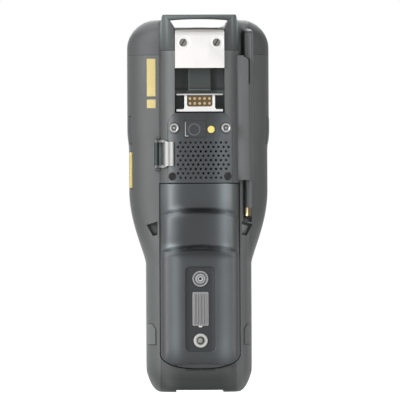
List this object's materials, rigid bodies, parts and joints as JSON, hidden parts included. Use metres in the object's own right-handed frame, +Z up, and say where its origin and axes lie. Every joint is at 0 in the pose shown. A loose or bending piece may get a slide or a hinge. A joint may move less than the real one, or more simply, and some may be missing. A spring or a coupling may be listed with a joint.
{
  "type": "portable barcode data terminal",
  "caption": "Upright handheld data terminal with a waisted grip, strap loop, removable battery, stylus, rear speaker grille, camera and a sprung keypad below the display.",
  "frame": {"origin": "middle of the flat foot on which the terminal stands", "axes": "+Z up the body to the strap loop, -Y out of the back with the battery, +Y out of the display"},
  "size_m": [0.0886, 0.0508, 0.2352],
  "materials": {
    "grey_plastic": "fine moulded texture",
    "dark_plastic": "fine moulded texture",
    "loop_rubber": "soft touch",
    "steel": "satin",
    "turned_steel": "turned rings",
    "screw_steel": "plain",
    "dark_screw": "blackened",
    "connector_resin": "moulded",
    "gold": "plated",
    "brass": "satin",
    "panel_plastic": "fine texture",
    "dark_glass": "gloss",
    "black_plastic": "moulded",
    "flash_resin": "clear yellow",
    "red_glass": "gloss",
    "display": "gloss",
    "mat_rubber": "matt",
    "board": "solder mask",
    "grip_rubber": "matt",
    "yellow_plastic": "satin",
    "yellow_key": "satin",
    "cell_wrap": "film",
    "window_plastic": "ribbed",
    "key_plastic": "satin",
    "light_key": "satin",
    "red_key": "satin"
  },
  "bodies": {
    "root": {"rear_housing": "grey_plastic", "front_housing": "dark_plastic", "top_cap": "grey_plastic", "strap_bar": "loop_rubber", "handle_plate": "steel", "plate_screws": "screw_steel", "connector_frame": "steel", "connector_block": "connector_resin", "connector_contacts": "gold", "grille_panel": "panel_plastic", "panel_screws_upper": "steel", "panel_screws_lower": "dark_screw", "camera_window": "dark_glass", "camera_barrel": "black_plastic", "flash_led": "flash_resin", "speaker": "black_plastic", "scan_window": "red_glass", "scan_engine": "black_plastic", "display_module": "display", "touch_glass": "dark_glass", "keypad_mat": "mat_rubber", "main_board": "board", "dock_connector": "black_plastic", "dock_contacts": "gold", "side_grips": "grip_rubber", "marker_strip": "yellow_plastic", "housing_screws": "screw_steel", "battery_contacts": "gold", "latch_pin": "screw_steel"},
    "gauge_button": {"gauge_button": "turned_steel"},
    "side_latch": {"side_latch": "steel"},
    "stylus": {"stylus_shaft": "dark_plastic", "stylus_tip": "brass", "stylus_cap": "grey_plastic"},
    "battery": {"battery_cover": "grey_plastic", "battery_tray": "black_plastic", "battery_cells": "cell_wrap", "gauge_window": "window_plastic", "strap_insert": "steel"},
    "scan_button_left": {"scan_button_left": "yellow_key"},
    "rocker_left": {"rocker_left": "key_plastic"},
    "side_button_right": {"side_button_right": "key_plastic"},
    "key_scan": {"key_scan": "yellow_key"},
    "key_nav": {"key_nav": "key_plastic"},
    "key_enter": {"key_enter": "light_key"},
    "key_soft_left": {"key_soft_left": "key_plastic"},
    "key_soft_right": {"key_soft_right": "key_plastic"},
    "key_power": {"key_power": "red_key"},
    "key_1": {"key_1": "key_plastic"},
    "key_2": {"key_2": "key_plastic"},
    "key_3": {"key_3": "key_plastic"},
    "key_4": {"key_4": "key_plastic"},
    "key_5": {"key_5": "key_plastic"},
    "key_6": {"key_6": "key_plastic"},
    "key_7": {"key_7": "key_plastic"},
    "key_8": {"key_8": "key_plastic"},
    "key_9": {"key_9": "key_plastic"},
    "key_point": {"key_point": "key_plastic"},
    "key_0": {"key_0": "key_plastic"},
    "key_function": {"key_function": "key_plastic"}
  },
  "joints": [
    {"name": "battery_release", "type": "slide", "parent": "root", "child": "battery", "axis": [0, -1, 0], "range_m": [0, 0.03]},
    {"name": "gauge_press", "type": "slide", "parent": "battery", "child": "gauge_button", "axis": [0, 1, 0], "range_m": [0, 0.0005], "stiffness_N_per_m": 900},
    {"name": "latch_swing", "type": "hinge", "parent": "root", "child": "side_latch", "pos_m": [-0.0266, -0.0145, 0.1485], "axis": [0, 0, -1], "range_deg": [0, 75]},
    {"name": "stylus_pull", "type": "slide", "parent": "root", "child": "stylus", "axis": [0, 0, 1], "range_m": [0, 0.12]},
    {"name": "left_scan_press", "type": "slide", "parent": "root", "child": "scan_button_left", "axis": [1, 0, 0], "range_m": [0, 0.0008], "stiffness_N_per_m": 900},
    {"name": "rocker_tilt", "type": "hinge", "parent": "root", "child": "rocker_left", "pos_m": [-0.0405, 0.0008, 0.1635], "axis": [0, 1, 0], "range_deg": [-2.5, 2.5], "stiffness_Nm_per_rad": 0.05},
    {"name": "right_press", "type": "slide", "parent": "root", "child": "side_button_right", "axis": [-1, 0, 0], "range_m": [0, 0.0008], "stiffness_N_per_m": 900},
    {"name": "key_scan_press", "type": "slide", "parent": "root", "child": "key_scan", "axis": [0, -1, 0], "range_m": [0, 0.0008], "stiffness_N_per_m": 700},
    {"name": "key_nav_press", "type": "slide", "parent": "root", "child": "key_nav", "axis": [0, -1, 0], "range_m": [0, 0.0008], "stiffness_N_per_m": 700},
    {"name": "key_enter_press", "type": "slide", "parent": "root", "child": "key_enter", "axis": [0, -1, 0], "range_m": [0, 0.0008], "stiffness_N_per_m": 700},
    {"name": "key_soft_left_press", "type": "slide", "parent": "root", "child": "key_soft_left", "axis": [0, -1, 0], "range_m": [0, 0.0008], "stiffness_N_per_m": 700},
    {"name": "key_soft_right_press", "type": "slide", "parent": "root", "child": "key_soft_right", "axis": [0, -1, 0], "range_m": [0, 0.0008], "stiffness_N_per_m": 700},
    {"name": "key_power_press", "type": "slide", "parent": "root", "child": "key_power", "axis": [0, -1, 0], "range_m": [0, 0.0008], "stiffness_N_per_m": 700},
    {"name": "key_1_press", "type": "slide", "parent": "root", "child": "key_1", "axis": [0, -1, 0], "range_m": [0, 0.0008], "stiffness_N_per_m": 700},
    {"name": "key_2_press", "type": "slide", "parent": "root", "child": "key_2", "axis": [0, -1, 0], "range_m": [0, 0.0008], "stiffness_N_per_m": 700},
    {"name": "key_3_press", "type": "slide", "parent": "root", "child": "key_3", "axis": [0, -1, 0], "range_m": [0, 0.0008], "stiffness_N_per_m": 700},
    {"name": "key_4_press", "type": "slide", "parent": "root", "child": "key_4", "axis": [0, -1, 0], "range_m": [0, 0.0008], "stiffness_N_per_m": 700},
    {"name": "key_5_press", "type": "slide", "parent": "root", "child": "key_5", "axis": [0, -1, 0], "range_m": [0, 0.0008], "stiffness_N_per_m": 700},
    {"name": "key_6_press", "type": "slide", "parent": "root", "child": "key_6", "axis": [0, -1, 0], "range_m": [0, 0.0008], "stiffness_N_per_m": 700},
    {"name": "key_7_press", "type": "slide", "parent": "root", "child": "key_7", "axis": [0, -1, 0], "range_m": [0, 0.0008], "stiffness_N_per_m": 700},
    {"name": "key_8_press", "type": "slide", "parent": "root", "child": "key_8", "axis": [0, -1, 0], "range_m": [0, 0.0008], "stiffness_N_per_m": 700},
    {"name": "key_9_press", "type": "slide", "parent": "root", "child": "key_9", "axis": [0, -1, 0], "range_m": [0, 0.0008], "stiffness_N_per_m": 700},
    {"name": "key_point_press", "type": "slide", "parent": "root", "child": "key_point", "axis": [0, -1, 0], "range_m": [0, 0.0008], "stiffness_N_per_m": 700},
    {"name": "key_0_press", "type": "slide", "parent": "root", "child": "key_0", "axis": [0, -1, 0], "range_m": [0, 0.0008], "stiffness_N_per_m": 700},
    {"name": "key_function_press", "type": "slide", "parent": "root", "child": "key_function", "axis": [0, -1, 0], "range_m": [0, 0.0008], "stiffness_N_per_m": 700}
  ]
}
